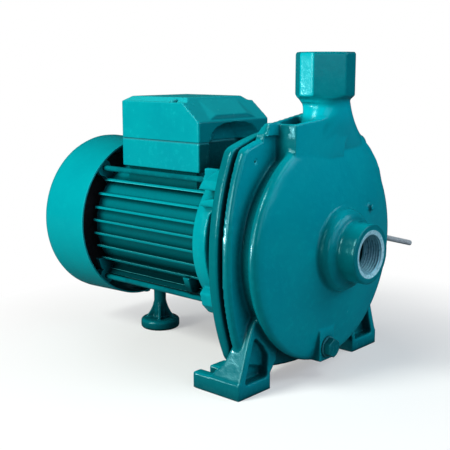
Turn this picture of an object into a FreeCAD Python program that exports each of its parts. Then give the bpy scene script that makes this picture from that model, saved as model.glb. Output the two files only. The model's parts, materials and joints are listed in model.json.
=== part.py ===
import FreeCAD, Part
import math
import os
from FreeCAD import Vector

# Close-coupled centrifugal water pump, one suction port and one discharge port.
# Frame: origin at the centre of the suction port's mouth, on the shaft axis.
# The shaft runs along Y: the suction (front) faces -Y and the motor extends along +Y.
# +X is to the right seen from the suction side, +Z is up. Millimetres.
# The suffixes 0 and 1 mark the low and high end of a range.

os.makedirs("parts", exist_ok=True)

# ------------------------------------------------------------------ driving sizes
AXIS_H = 104.6                  # shaft axis above the floor
FLOOR = -AXIS_H
FOOT_X = 95.0                   # outer side of each casing foot
FOOT_W = 38.0                   # width of each casing foot
FOOT_Y0, FOOT_Y1 = 51.3, 99.8
SLOT_X = 80.0                   # foot slot centre, so 160 between the slots
SLOT_W = 10.0
SLOT_Y = 86.0                   # centre of the slot's round end
PAD_T = 12.5                    # foot pad thickness

PORT_R = 15.145                 # G1 internal thread, minor radius
PORT_CH_R = 18.45               # mouth of the port chamfer
PORT_CH = 1.8                   # depth of the port chamfer
BOSS_R = 23.5                   # suction boss
DISC_R = 91.5                   # casing front disc
FL_HX, FL_HZ = 99.0, 96.0       # half width and half height of the flanges
FL_BULGE_X = 193.0              # radius of the bulged left and right sides
FL_BULGE = 240.0                # radius of the bulged top and bottom sides
FL_CORNER = 11.0
CFL_Y0, CFL_Y1 = 58.0, 65.0     # casing flange
BFL_Y0, BFL_Y1 = 70.0, 79.0     # bracket flange
BOLT_X, BOLT_Z = 69.0, 72.5     # flange bolts

DIS_X, DIS_Y = -3.5, 44.0       # discharge axis
DIS_TOP, DIS_BOT = 152.3, 121.0
OCT_A, OCT_B = 24.0, 30.0       # discharge octagon: |x| <= A and |x| + |y| <= B
SHOULDER_Y0 = 39.5
DRAIN_X, DRAIN_Z = -10.0, -78.0

SPIGOT_R = 80.0
CHAMBER_R = 77.0

HUB_Y0, HUB_Y1 = 44.0, 57.4     # impeller hub
KEY_Y0, KEY_Y1 = 46.0, 57.2
KEY_Z0 = 4.6                    # underside of the key

CORE_Y0, CORE_Y1 = 150.0, 230.0     # rotor and stator cores
BAR_COUNT, BAR_PITCH_R = 18, 26.0   # rotor cage bars
STATOR_SLOTS = 24
FRAME_Y0, FRAME_Y1 = 127.0, 256.8
TUBE_RO, STATOR_RO = 54.5, 51.0
FIN_R = 60.2
FIN_Y0, FIN_Y1 = FRAME_Y0 + 1.0, FRAME_Y1 - 0.6
FIN_Z = [40.0, 28.0, 16.0, 4.5, -7.5, -19.5, -32.0, -44.5]
FIN_X = [-24, -12, 0, 12, 24]   # upright fins under the frame
FIN_T = 1.9
ROD_X, ROD_Z = 45.0, 50.5       # tie rods
ROD_ANGLE = math.degrees(math.atan2(ROD_Z, ROD_X))
SHIELD_FACE = 263.0             # rear face under the tie rod nuts

COVER_Y0, COVER_Y1 = 255.0, 312.0
COVER_R0, COVER_R1 = 74.4, 75.8
COVER_T = 1.5
COVER_SCREW_Y = 260.2
COVER_SCREW_ANGLES = (80.0, 0.0, -84.0)     # from +X towards +Z

BOX_X = 45.0                    # half width of the terminal box
BOX_Y0, BOX_Y1 = 138.0, 232.3
BOX_Z0, BOX_SPLIT, LID_EDGE, LID_TOP = 55.0, 79.2, 112.0, 116.0
BOX_FLOOR = BOX_Z0 + 3.0
GASKET_Z0, GASKET_Z1 = BOX_SPLIT - 0.4, BOX_SPLIT + 0.4
BOX_IN_X = 42.2                 # half width of the cavity
BOX_IN_Y0, BOX_IN_Y1 = BOX_Y0 + 15.8, BOX_Y1 - 2.8
BOX_SCREWS = [(-26, 160), (26, 160), (-26, 214), (26, 214)]
LID_SCREW_X, LID_SCREW_Y = 40.0, 172.0
FRAME_HOLE_Y = 185.0            # hole from the box down into the frame
EARTH_X, EARTH_Y = -33, 222
TERMINAL_XS, TERMINAL_Y = (9.0, 18.0, 27.0), 200
CAP_X, CAP_Z = -20.0, 92.0      # capacitor axis
GLAND_Y, GLAND_Z = 185.0, 68.0
MOTOR_FOOT_Y = 233.3

SIDES = (-1, 1)
FLANGE_BOLTS = [(i * BOLT_X, j * BOLT_Z) for i in SIDES for j in SIDES]
TIE_RODS = [(i * ROD_X, j * ROD_Z) for i in SIDES for j in SIDES]

ORIGIN = Vector(0, 0, 0)
AXIS_X, AXIS_Y, AXIS_Z = Vector(1, 0, 0), Vector(0, 1, 0), Vector(0, 0, 1)


# ------------------------------------------------------------------ helpers
def cyl_x(r, x0, x1, y=0.0, z=0.0):
    return Part.makeCylinder(r, x1 - x0, Vector(x0, y, z), AXIS_X)


def cyl_y(r, y0, y1, x=0.0, z=0.0):
    return Part.makeCylinder(r, y1 - y0, Vector(x, y0, z), AXIS_Y)


def cyl_z(r, z0, z1, x=0.0, y=0.0):
    return Part.makeCylinder(r, z1 - z0, Vector(x, y, z0), AXIS_Z)


def box(x0, x1, y0, y1, z0, z1):
    return Part.makeBox(x1 - x0, y1 - y0, z1 - z0, Vector(x0, y0, z0))


def outline(points):
    """Closed polygon through the points."""
    return Part.makePolygon(points + points[:1])


def revolve_y(points, x=0.0, z=0.0):
    """Solid of revolution about the Y direction through (x, z) from (radius, y) points."""
    face = Part.Face(outline([Vector(x + r, y, z) for r, y in points]))
    return face.revolve(Vector(x, 0, z), AXIS_Y, 360)


def revolve_z(points, x=0.0, y=0.0):
    """Solid of revolution about the Z direction through (x, y) from (radius, z) points."""
    face = Part.Face(outline([Vector(x + r, y, z) for r, z in points]))
    return face.revolve(Vector(x, y, 0), AXIS_Z, 360)


def prism_xz(points, y0, y1):
    face = Part.Face(outline([Vector(x, y0, z) for x, z in points]))
    return face.extrude(Vector(0, y1 - y0, 0))


def prism_yz(points, x0, x1):
    face = Part.Face(outline([Vector(x0, y, z) for y, z in points]))
    return face.extrude(Vector(x1 - x0, 0, 0))


def prism_xy(points, z0, z1):
    face = Part.Face(outline([Vector(x, y, z0) for x, y in points]))
    return face.extrude(Vector(0, 0, z1 - z0))


def ring(r_out, r_in, y0, y1):
    """Plain ring on the shaft axis."""
    return cyl_y(r_out, y0, y1).cut(cyl_y(r_in, y0 - 1, y1 + 1))


def hexagon(flats, turn=0.0):
    """Corners of a hexagon, from its size across flats."""
    r = flats / math.sqrt(3.0)
    angles = [math.radians(60 * i + turn) for i in range(6)]
    return [(r * math.cos(a), r * math.sin(a)) for a in angles]


def hex_y(flats, y0, y1, x=0.0, z=0.0, turn=0.0):
    return prism_xz([(x + u, z + v) for u, v in hexagon(flats, turn)], y0, y1)


def hex_x(flats, x0, x1, y, z):
    return prism_yz([(y + u, z + v) for u, v in hexagon(flats)], x0, x1)


def smooth_loft(stations):
    """Loft through ellipses given as (centre x, centre y, half size x, half size y, z)."""
    wires = []
    for x, y, half_x, half_y, z in stations:
        angles = [2 * math.pi * i / 24 for i in range(24)]
        curve = Part.BSplineCurve()
        curve.interpolate([Vector(x + half_x * math.cos(a), y + half_y * math.sin(a), z)
                           for a in angles], PeriodicFlag=True)
        wires.append(Part.Wire([curve.toShape()]))
    return Part.makeLoft(wires, True, False)


def ruled_loft(*levels):
    """Straight-sided loft between lists of points."""
    return Part.makeLoft([outline(points) for points in levels], True, True)


def fuse(first, *others):
    return first.multiFuse(list(others)).removeSplitter()


def cut_each(shape, tools):
    """Cut the tools away one after the other."""
    for tool in tools:
        shape = shape.cut(tool)
    return shape


def largest(shape):
    """The biggest solid, without any loose slivers left by the cuts."""
    return max(shape.Solids, key=lambda solid: solid.Volume)


def mirror_x(shape):
    return shape.mirror(ORIGIN, AXIS_X)


def turned_y(shape, degrees):
    """Copy turned about the shaft; positive angles take +X towards -Z."""
    copy = shape.copy()
    copy.rotate(ORIGIN, AXIS_Y, degrees)
    return copy


def soften(shape, size, pick, chamfer=False):
    """Round or chamfer the picked edges."""
    edges = [e for e in shape.Edges if pick(e)]
    if not edges:
        return shape
    # guards against a kernel failure on the edges: the plain shape is kept instead
    try:
        make = shape.makeChamfer if chamfer else shape.makeFillet
        result = make(size, edges)
        if result.isValid() and result.Volume > 0:
            return result
    except Exception:
        pass
    return shape


def along(edge, axis):
    """True if an edge is a straight line along an axis."""
    if edge.Curve.TypeId != "Part::GeomLine":
        return False
    d = edge.valueAt(edge.LastParameter) - edge.valueAt(edge.FirstParameter)
    if d.Length < 1e-6:
        return False
    d.normalize()
    return abs(abs(d.dot(axis)) - 1.0) < 1e-4


def in_plane_y(edge, y):
    """True if an edge lies in the plane at y."""
    bounds = edge.BoundBox
    return abs(bounds.YMin - y) < 1e-3 and abs(bounds.YMax - y) < 1e-3


def save(name, *shapes):
    solids = [solid for shape in shapes for solid in shape.Solids]
    result = solids[0] if len(solids) == 1 else Part.makeCompound(solids)
    result.exportStep("parts/%s.step" % name)


def flange(y0, y1, front_chamfer=0.0, back_chamfer=0.0, inset=0.0):
    """Rounded square plate with four bulged sides."""
    offset_x = FL_BULGE_X - (FL_HX - inset)
    offset_z = FL_BULGE - (FL_HZ - inset)
    plate = cyl_y(FL_BULGE_X, y0, y1, offset_x, 0)
    plate = plate.common(cyl_y(FL_BULGE_X, y0, y1, -offset_x, 0))
    plate = plate.common(cyl_y(FL_BULGE, y0, y1, 0, offset_z))
    plate = plate.common(cyl_y(FL_BULGE, y0, y1, 0, -offset_z))
    plate = soften(plate, FL_CORNER - inset, lambda e: along(e, AXIS_Y))
    if front_chamfer:
        plate = soften(plate, front_chamfer, lambda e: in_plane_y(e, y0), chamfer=True)
    if back_chamfer:
        plate = soften(plate, back_chamfer, lambda e: in_plane_y(e, y1), chamfer=True)
    return plate


# ------------------------------------------------------------------ pump casing
# (radius, y) outside of the casing, from the suction mouth to the flange
CASING_PROFILE = [
    (0, 0), (22.7, 0), (BOSS_R, 0.8), (BOSS_R, 15.0), (24.6, 16.2), (27.2, 16.9),
    (30.2, 18.8), (32.2, 22.2), (33.0, 25.6), (34.2, 27.2), (50, 29.9), (70, 33.9),
    (84, 37.3), (88.3, 38.8), (90.4, 40.4), (DISC_R, 43.0), (91.2, 45.4), (89.4, 47.8),
    (87.2, 50.0), (85.8, 53.0), (85.5, CFL_Y1), (0, CFL_Y1)]
# (x, z) wide root of the discharge branch
SHOULDER = [
    (-46, 60), (-46, 90), (-34, 97), (-12, 103.6), (-2, 106.0), (6, 108), (24, 108),
    (31, 103.5), (36.5, 97.0), (43.5, 89.5), (52, 82.5), (61, 75.5), (70, 66.0),
    (76, 57.0), (80.5, 45.0), (60, 30), (-46, 30)]
# smooth_loft stations of the discharge neck and of the passage inside it
NECK = [
    (DIS_X, DIS_Y, 19.3, 19.3, 118.0), (-1.5, 43.3, 18.6, 18.6, 112.0),
    (0.0, 43.0, 23.0, 17.5, 104.0), (2.0, 44.0, 31.0, 16.0, 96.0),
    (3.0, 45.2, 43.0, 13.2, 86.0), (3.0, 46.0, 52.0, 10.0, 76.0)]
PASSAGE = [
    (DIS_X, DIS_Y, 12.3, 12.3, 120.5), (-1.0, 44.6, 12.6, 11.5, 106.0),
    (0.0, 48.0, 14.0, 7.4, 90.0), (0.0, 49.5, 15.0, 6.4, 70.0)]
# (radius, y) suction eye, pumping chamber and spigot bore
CHAMBER = [
    (0, 14), (PORT_R, 14), (PORT_R, 17), (16.6, 18.2), (16.6, 30.2), (21.0, 30.2),
    (21.0, 37.0), (29, 37.0), (32, 36.0), (50, 37.0), (70, 40.4), (75.5, 42.2),
    (CHAMBER_R, 45), (CHAMBER_R, 56), (SPIGOT_R, 56), (SPIGOT_R, CFL_Y1 + 1),
    (0, CFL_Y1 + 1)]


def discharge_shoulder():
    shoulder = prism_xz(SHOULDER, SHOULDER_Y0, CFL_Y1)
    return soften(shoulder, 3.0,
                  lambda e: in_plane_y(e, SHOULDER_Y0) and e.BoundBox.ZMin > 44,
                  chamfer=True)


def discharge_block():
    """Octagonal port block with a coned underside."""
    k = OCT_B - OCT_A
    corners = [(OCT_A, -k), (OCT_A, k), (k, OCT_A), (-k, OCT_A),
               (-OCT_A, k), (-OCT_A, -k), (-k, -OCT_A), (k, -OCT_A)]
    block = prism_xy([(DIS_X + x, DIS_Y + y) for x, y in corners], DIS_BOT - 6.5, DIS_TOP)
    cone = revolve_z([(0, 110.0), (17.0, 110.0), (19.4, DIS_BOT - 4.2), (26.6, DIS_BOT),
                      (40, DIS_BOT), (40, DIS_TOP), (0, DIS_TOP)], DIS_X, DIS_Y)
    block = block.common(cone)
    return soften(block, 1.0, lambda e: abs(e.BoundBox.ZMin - DIS_TOP) < 1e-3, chamfer=True)


def pocket_wall():
    """Outside of the open-topped pocket beside the neck, under a sloping top."""
    # (x, y) at the bottom and top levels
    low = [(-46, 38.9), (-6, 33.8), (10, 33.8), (10, CFL_Y1), (-46, CFL_Y1)]
    high = [(-46, 38.6), (-6, 26.6), (10, 27.6), (10, CFL_Y1), (-46, CFL_Y1)]
    wall = ruled_loft([Vector(x, y, 72.8) for x, y in low],
                      [Vector(x, y, 112.0) for x, y in high])
    top = [(x, 99.2 + 0.1525 * (x + 46.0)) for x in (12, -60)]
    return wall.common(prism_xz([(-60, 60), (12, 60)] + top, 20, CFL_Y1 + 1))


def side_lug():
    """Small stepped lug to the left of the pocket."""
    lug = prism_xz([(-59, 91.0), (-50, 91.0), (-44, 91.0), (-44, 100.4), (-56.5, 100.4)],
                   55.0, 59.0)
    return lug.fuse(prism_xz([(-60, 80), (-46, 80), (-46, 99.6), (-51, 99.6), (-60, 92.0)],
                             57.8, CFL_Y1))


def left_leg():
    """Left casing foot: front leg with a recess, low rear pad with an open slot."""
    x0, x1 = -FOOT_X, -FOOT_X + FOOT_W
    outer_edge = [(-78.5, -50), (-83.5, -62), (-89.5, -80), (x0, -95)]
    web = prism_xz([(x0, FLOOR), (x1, FLOOR), (x1 - 2.2, FLOOR + 10.5), (-50.0, -83.5),
                    (-48, -70), (-52, -52), (-74, -44)] + outer_edge, FOOT_Y0, CFL_Y1)
    pad = prism_xy([(x0, FOOT_Y0), (x1, FOOT_Y0), (x1, FOOT_Y1), (x0, FOOT_Y1)],
                   FLOOR, FLOOR + PAD_T)
    pad = soften(pad, 3.0, lambda e: along(e, AXIS_Z) and e.BoundBox.YMin > 90)
    # thick outer rib that carries the leg back over the pad
    outer_rib = prism_yz([(60, -45), (CFL_Y1, -52), (66.5, -66), (71, -79), (78.5, -87.5),
                          (82, FLOOR + PAD_T), (82, FLOOR + 4), (60, FLOOR + 4)],
                         x0, x0 + 24)
    wedge = prism_xz([(x0, FLOOR), (-71, FLOOR), (-71, -44)] + outer_edge,
                     FOOT_Y0, FOOT_Y1)
    outer_rib = outer_rib.common(wedge)
    inner_rib = prism_yz([(60, -70), (CFL_Y1, -70), (68, -82), (73, -89),
                          (73, FLOOR + 4), (60, FLOOR + 4)], x1 - 9, x1 - 2.4)
    leg = fuse(web, pad, outer_rib, inner_rib)
    recess = prism_xz([(-87.5, -94.2), (-61.5, -94.2), (-60.5, -76.5), (-66, -68),
                       (-76.2, -58.5)], FOOT_Y0 - 1, FOOT_Y0 + 9.5)
    recess = soften(recess, 2.0, lambda e: along(e, AXIS_Y))
    z0, z1 = FLOOR - 2, FLOOR + PAD_T + 30
    slot = fuse(box(-SLOT_X - SLOT_W / 2, -SLOT_X + SLOT_W / 2, SLOT_Y, FOOT_Y1 + 5, z0, z1),
                cyl_z(SLOT_W / 2, z0, z1, -SLOT_X, SLOT_Y))
    return leg.cut(recess).cut(slot)


def pump_casing():
    body = revolve_y(CASING_PROFILE)
    rim = flange(CFL_Y0, CFL_Y1, front_chamfer=2.2)
    pocket_floor = prism_xz([(-46, 60), (10, 60), (10, 72.8), (-46, 72.8)], 45, CFL_Y1)
    pocket_hollow = prism_xy([(-42.6, 42.4), (-14, 35.4), (-14, 60.8), (-42.6, 60.8)],
                             84, 120)
    drain_pad = box(DRAIN_X - 10.2, DRAIN_X + 10.2, 31.6, 48, -89.0, -63.5)
    drain_pad = soften(drain_pad, 1.6, lambda e: along(e, AXIS_Y))
    nub = revolve_y([(0, 26.5), (2.2, 26.5), (3.4, 29.5), (3.4, 34), (0, 34)], 44.0, 28.0)
    casing = fuse(body, rim, discharge_shoulder(), pocket_wall(), pocket_floor, side_lug(),
                  drain_pad, nub)
    casing = casing.cut(pocket_hollow)
    leg = left_leg()
    casing = fuse(casing, smooth_loft(NECK), discharge_block(), leg, mirror_x(leg))

    suction_port = revolve_y([(0, -1), (PORT_CH_R, -1), (PORT_CH_R, 0), (PORT_R, PORT_CH),
                              (PORT_R, 17.5), (0, 17.5)])
    discharge_port = revolve_z(
        [(0, DIS_TOP + 1), (PORT_CH_R, DIS_TOP + 1), (PORT_CH_R, DIS_TOP),
         (PORT_R, DIS_TOP - PORT_CH), (PORT_R, DIS_TOP - 19.0), (13.2, DIS_TOP - 21.0),
         (13.2, 118.4), (0, 118.4)], DIS_X, DIS_Y)
    casing = cut_each(casing, [
        revolve_y(CHAMBER), suction_port, discharge_port, smooth_loft(PASSAGE),
        cyl_y(5.05, 25, 60, DRAIN_X, DRAIN_Z),
        flange(BFL_Y0 - 0.6, 104.0, inset=-0.8)])   # room for the bracket above the feet
    for side in SIDES:
        casing = casing.cut(cyl_y(4.6, CFL_Y1 - 0.1, BFL_Y0, side * BOLT_X, -BOLT_Z))
    for x, z in FLANGE_BOLTS:
        casing = casing.cut(cyl_y(4.05, CFL_Y0 + 1.6, CFL_Y1 + 1, x, z))
        if z > 0:
            # shallow dimple in front of each upper bolt hole
            casing = casing.cut(revolve_y(
                [(0, CFL_Y0 - 1), (2.6, CFL_Y0 - 1), (2.6, CFL_Y0 + 0.1),
                 (0.5, CFL_Y0 + 1.1), (0, CFL_Y0 + 1.1)], x, z))
    return largest(casing)


def drain_plug():
    plug = fuse(hex_y(13.6, 24.6, 30.0, DRAIN_X, DRAIN_Z, turn=30),
                cyl_y(8.4, 30.0, 30.9, DRAIN_X, DRAIN_Z),
                cyl_y(4.98, 30.5, 44.5, DRAIN_X, DRAIN_Z))
    return plug.common(revolve_y([(0, 24.6), (6.6, 24.6), (8.4, 25.8), (8.4, 46), (0, 46)],
                                 DRAIN_X, DRAIN_Z))


save("pump_casing", pump_casing())
save("drain_plug", drain_plug())
save("drain_plug_washer", cyl_y(8.0, 30.9, 31.6, DRAIN_X, DRAIN_Z)
     .cut(cyl_y(5.1, 30, 33, DRAIN_X, DRAIN_Z)))

# ------------------------------------------------------------------ impeller end
# (radius, y) profiles: back plate with hub, front plate with eye, space between for vanes
IMPELLER_BACK = [
    (7.02, HUB_Y0), (12.5, HUB_Y0), (13.5, 47.5), (16, 50.2), (24, 51.2), (70, 51.4),
    (70, 54.0), (22, 54.4), (14, 56.0), (13, HUB_Y1), (7.02, HUB_Y1)]
IMPELLER_FRONT = [
    (17.2, 30.7), (20.6, 30.7), (20.6, 39.2), (24, 40.4), (50, 41.4), (70, 44.0),
    (70, 46.2), (50, 43.8), (26, 42.6), (20, 41.2), (17.2, 38.0)]
VANE_ZONE = [
    (15.5, 44.5), (17.3, 41.5), (20.0, 40.2), (26, 41.6), (50, 42.6), (69.9, 45.2),
    (69.9, 52.4), (24, 52.2), (15.5, 51.0)]


def vane(start):
    """Spiral vane that starts at an angle in degrees and sweeps 74 degrees outwards."""
    inner, outer = [], []
    for i in range(13):
        t = i / 12.0
        r = 15.0 + 56.5 * t
        angle = math.radians(start) + math.radians(74) * (t ** 0.85)
        width = math.radians(8.5) * (17.0 / r) ** 0.8
        inner.append((r * math.cos(angle), r * math.sin(angle)))
        outer.append((r * math.cos(angle + width), r * math.sin(angle + width)))
    return prism_xz(inner + outer[::-1], 39.5, 53).common(revolve_y(VANE_ZONE))


def impeller():
    wheel = fuse(revolve_y(IMPELLER_BACK), revolve_y(IMPELLER_FRONT),
                 *[vane(60 * i) for i in range(6)])
    return wheel.cut(box(-2.05, 2.05, KEY_Y0 - 0.1, 58, 0, 9.3))


def impeller_nut():
    blank = revolve_y([(0, 35.2), (8.6, 35.2), (10.4, 36.3), (10.4, 42.4), (0, 42.4)])
    return hex_y(18.0, 35.2, 42.4).common(blank).cut(cyl_y(6.03, 34, 44))


def seal_spring():
    pitch, coil_r = 2.45, 12.9
    helix = Part.Wire(Part.makeHelix(pitch, 4.9, coil_r).Edges)
    tangent = Vector(0, 1, pitch / (2 * math.pi * coil_r))
    section = Part.Wire([Part.makeCircle(0.62, Vector(coil_r, 0, 0), tangent)])
    spring = helix.makePipeShell([section], True, True)
    spring.rotate(ORIGIN, AXIS_X, -90)
    spring.translate(Vector(0, 60.9, 0))
    return spring


save("impeller", impeller())
save("impeller_key", box(-2.0, 2.0, KEY_Y0, KEY_Y1, KEY_Z0, 9.0))
save("impeller_washer", ring(11.5, 6.1, 42.4, HUB_Y0))
save("impeller_nut", impeller_nut())
# O-ring in the bracket spigot's groove
save("casing_oring", Part.makeTorus(78.75, 1.2, Vector(0, 62.0, 0), AXIS_Y))

# mechanical seal
save("seal_seat", ring(13.5, 9.2, 73.0, 79.0))
save("seal_seat_cup", revolve_y([(13.55, 74.2), (16.0, 74.2), (16.0, 80.5), (10.0, 80.5),
                                 (10.0, 79.05), (13.55, 79.05)]))
save("seal_face", ring(13.0, 9.0, 69.6, 73.0))
save("seal_bellows", revolve_y([(8.02, 59.8), (9.6, 59.8), (9.6, 64.0), (10.4, 65.6),
                                (10.4, 67.2), (14.4, 67.2), (14.4, 69.6), (8.02, 69.6)]))
save("seal_collar", revolve_y([(8.02, 57.45), (15.0, 57.45), (15.0, 59.6), (12.0, 59.6),
                               (12.0, 58.6), (8.02, 58.6)]))
save("seal_spring", seal_spring())


# ------------------------------------------------------------------ motor bracket (lantern)
def bracket_shell():
    outside = revolve_y([(0, 78), (72.0, 78), (70.5, 92), (68.0, 110), (68.3, 118),
                         (67.0, 125.2), (65.5, 127), (0, 127)])
    inside = revolve_y([(0, BFL_Y1), (65.5, BFL_Y1), (64.0, 92), (61.5, 110),
                        (61.5, 119.5), (0, 119.5)])
    return outside.cut(inside)


def bracket_arms():
    """Upper and lower arm on each side, outside the clear bore."""
    upper = prism_xz([(-46, 58), (-56, 62.6), (-62, 62.8), (-74.0, 55.0), (-74.8, 47.9),
                      (-68.5, 47.4), (-67.5, 33.5), (-56, 30.0), (-40, 48)],
                     BFL_Y1 - 1, 118.0)
    upper = upper.cut(prism_yz([(100.5, 66), (119, 66), (119, 30), (111.5, 48.0)], -80, -60))
    upper = upper.cut(prism_yz([(81.5, 47.8), (119, 47.8), (119, 36.5), (81.5, 45.8)],
                               -80, -61.0))
    lower = prism_xz([(-60, -35), (-64.5, -39), (-62.0, -49), (-54, -57), (-44, -60.0),
                      (-38, -53), (-48, -40)], BFL_Y1 - 1, 120.0)
    arms = []
    for arm in (upper, lower):
        arm = arm.cut(cyl_y(50.0, BFL_Y1, 119.5))
        arms += [arm, mirror_x(arm)]
    return arms


def bracket_windows():
    """Window in each side, then the one underneath."""
    side = [(82.5, -27), (86, -31.5), (106, -31.5), (110.5, -27),
            (110.5, 26), (106, 31.5), (86, 31.5), (82.5, 27)]
    bottom = prism_xy([(-26, 84), (26, 84), (26, 108), (-26, 108)], -90, -45)
    return [prism_yz(side, -90, -40), prism_yz(side, 40, 90), bottom]


def motor_bracket():
    rim = flange(BFL_Y0, BFL_Y1, front_chamfer=1.0, back_chamfer=1.2)
    spigot = cyl_y(SPIGOT_R - 0.05, 56.05, BFL_Y0 + 0.5)
    spigot = spigot.cut(ring(SPIGOT_R + 2, 77.5, 60.7, 63.3))
    bracket = fuse(rim, spigot, bracket_shell(), *bracket_arms())
    bracket = cut_each(bracket, bracket_windows())
    # annular hollow round the seal hub
    bracket = bracket.cut(ring(65.0, 25.0, 65.0, BFL_Y1 + 0.5))
    seal_hub = cyl_y(26.0, 57, 89.5)
    bearing_hub = revolve_y([(0, 108.5), (24, 108.5), (27.0, 111.5), (28.5, 120.5),
                             (0, 120.5)])
    register = ring(51.9, 47.5, 126.5, 132.0)
    ears = [cyl_y(7.6, 111.0, 127.0, x, z) if z > 0 else cyl_y(5.4, 114.0, 127.0, x, z)
            for x, z in TIE_RODS]
    rib = prism_yz([(112, -3), (120, -3), (120, 3), (112, 3)], 22, 63)
    ribs = [turned_y(rib, -angle) for angle in (45, 135, 225, 315)]
    bracket = fuse(bracket, seal_hub, bearing_hub, register, *(ears + ribs))
    seal_bore = revolve_y([(0, 50), (20.0, 50), (20.0, 73.0), (16.0, 74.2), (16.0, 80.5),
                           (9.6, 80.5), (9.6, 90), (0, 90)])
    bearing_bore = revolve_y([(0, 100), (12.5, 100), (12.5, 114.0), (20.0, 114.0),
                              (20.0, 134), (0, 134)])
    bracket = bracket.cut(seal_bore).cut(bearing_bore)
    for (bolt_x, bolt_z), (rod_x, rod_z) in zip(FLANGE_BOLTS, TIE_RODS):
        bracket = bracket.cut(cyl_y(4.5, 70, 82, bolt_x, bolt_z))
        bracket = bracket.cut(cyl_y(8.6, BFL_Y1, 92, bolt_x, bolt_z))
        bracket = bracket.cut(cyl_y(2.55, 108, 130, rod_x, rod_z))
    return largest(bracket)


def casing_bolt(x, z):
    head_end = BFL_Y1 + 5.3
    bolt = fuse(cyl_y(4.0, CFL_Y0 + 2.2, BFL_Y1 + 0.5, x, z),
                hex_y(13.0, BFL_Y1, head_end, x, z))
    return bolt.common(revolve_y([(0, 50), (7.5, 50), (7.5, BFL_Y1 + 4.6), (6.6, head_end),
                                  (0, head_end)], x, z))


save("motor_bracket", motor_bracket())
save("casing_bolts", *[casing_bolt(x, z) for x, z in FLANGE_BOLTS])
save("slinger_ring", revolve_y([(8.01, 95.0), (10.5, 95.0), (17.5, 97.6), (17.5, 98.8),
                                (10.5, 98.2), (10.5, 100), (8.01, 100)]))


# ------------------------------------------------------------------ bearings
def save_bearing(prefix, y0, y1, bore_r, outer_r, ball_r, pitch_r, count):
    y = (y0 + y1) / 2.0
    directions = [Vector(math.cos(a), 0, math.sin(a))
                  for a in [2 * math.pi * i / count for i in range(count)]]
    centres = [Vector(pitch_r * d.x, y, pitch_r * d.z) for d in directions]
    groove = Part.makeTorus(pitch_r, ball_r + 0.05, Vector(0, y, 0), AXIS_Y)
    land = 0.62 * ball_r
    save(prefix + "_outer_ring", ring(outer_r, pitch_r + land, y0, y1).cut(groove))
    save(prefix + "_inner_ring", ring(pitch_r - land, bore_r, y0, y1).cut(groove))
    save(prefix + "_balls", *[Part.makeSphere(ball_r, centre) for centre in centres])
    cage = ring(pitch_r + 0.30 * ball_r, pitch_r - 0.30 * ball_r,
                y - ball_r * 1.05, y + ball_r * 1.05)
    for centre, direction in zip(centres, directions):
        cage = cage.cut(Part.makeSphere(ball_r + 0.06, centre, direction))
    save(prefix + "_cage", largest(cage))


save_bearing("front_bearing", y0=114.0, y1=126.0, bore_r=8.5, outer_r=20.0,
             ball_r=3.37, pitch_r=14.25, count=8)
save_bearing("rear_bearing", y0=247.0, y1=258.0, bore_r=7.5, outer_r=17.5,
             ball_r=2.97, pitch_r=12.5, count=8)

# ------------------------------------------------------------------ shaft, rotor, stator
# (radius, y) from the impeller nut end to the fan end
SHAFT = [
    (0, 34.0), (5.2, 34.0), (6.0, 34.8), (6.0, HUB_Y0), (7.0, HUB_Y0), (7.0, HUB_Y1),
    (8.0, HUB_Y1), (8.0, 113.0), (8.5, 113.2), (8.5, 126.0), (12.0, 126.0), (12.0, 139.5),
    (13.0, 139.5), (13.0, 237.0), (10.5, 237.0), (10.5, 246.9), (7.5, 247.0), (7.5, 259.0),
    (7.0, 259.2), (7.0, 293.2), (6.4, 293.2), (6.4, 294.4), (7.0, 294.4), (7.0, 296.0),
    (6.4, 296.8), (0, 296.8)]


def rotor_bars(r, overhang):
    """Round bars through the rotor core, past each end by the overhang."""
    angles = [2 * math.pi * i / BAR_COUNT for i in range(BAR_COUNT)]
    return [cyl_y(r, CORE_Y0 - overhang, CORE_Y1 + overhang,
                  BAR_PITCH_R * math.cos(a), BAR_PITCH_R * math.sin(a)) for a in angles]


def rotor_cage():
    return fuse(ring(29.0, 19.0, CORE_Y0 - 7.5, CORE_Y0),
                ring(29.0, 19.0, CORE_Y1, CORE_Y1 + 7.5), *rotor_bars(1.99, 0.5))


def stator_core():
    slot = fuse(box(31.5, 43.0, 149, 231, -2.0, 2.0), box(29.0, 32.0, 149, 231, -0.9, 0.9))
    slots = [turned_y(slot, 360 / STATOR_SLOTS * i) for i in range(STATOR_SLOTS)]
    return ring(STATOR_RO, 30.0, CORE_Y0, CORE_Y1).cut(slots)


def stator_windings():
    strand = box(33.6, 42.8, 147, 233, -1.8, 1.8)
    strands = [turned_y(strand, 360 / STATOR_SLOTS * i) for i in range(STATOR_SLOTS)]
    return fuse(ring(45.5, 33.0, 136.5, 147.5), ring(45.5, 33.0, 232.5, 243.5), *strands)


save("rotor_shaft", revolve_y(SHAFT).cut(box(-2.0, 2.0, KEY_Y0, KEY_Y1, KEY_Z0, 9.5)))
save("rotor_core", ring(29.5, 13.0, CORE_Y0, CORE_Y1).cut(rotor_bars(2.0, 1.0)))
save("rotor_cage", rotor_cage())
save("stator_core", stator_core())
save("stator_windings", stator_windings())


# ------------------------------------------------------------------ motor frame
def side_lugs(points, y0, y1):
    """Left lug with rounded outer edges, and its mirror image."""
    lug = soften(prism_xz(points, y0, y1), 1.0,
                 lambda e: e.BoundBox.XMax < -49 and not along(e, AXIS_Z))
    return [lug, mirror_x(lug)]


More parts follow.
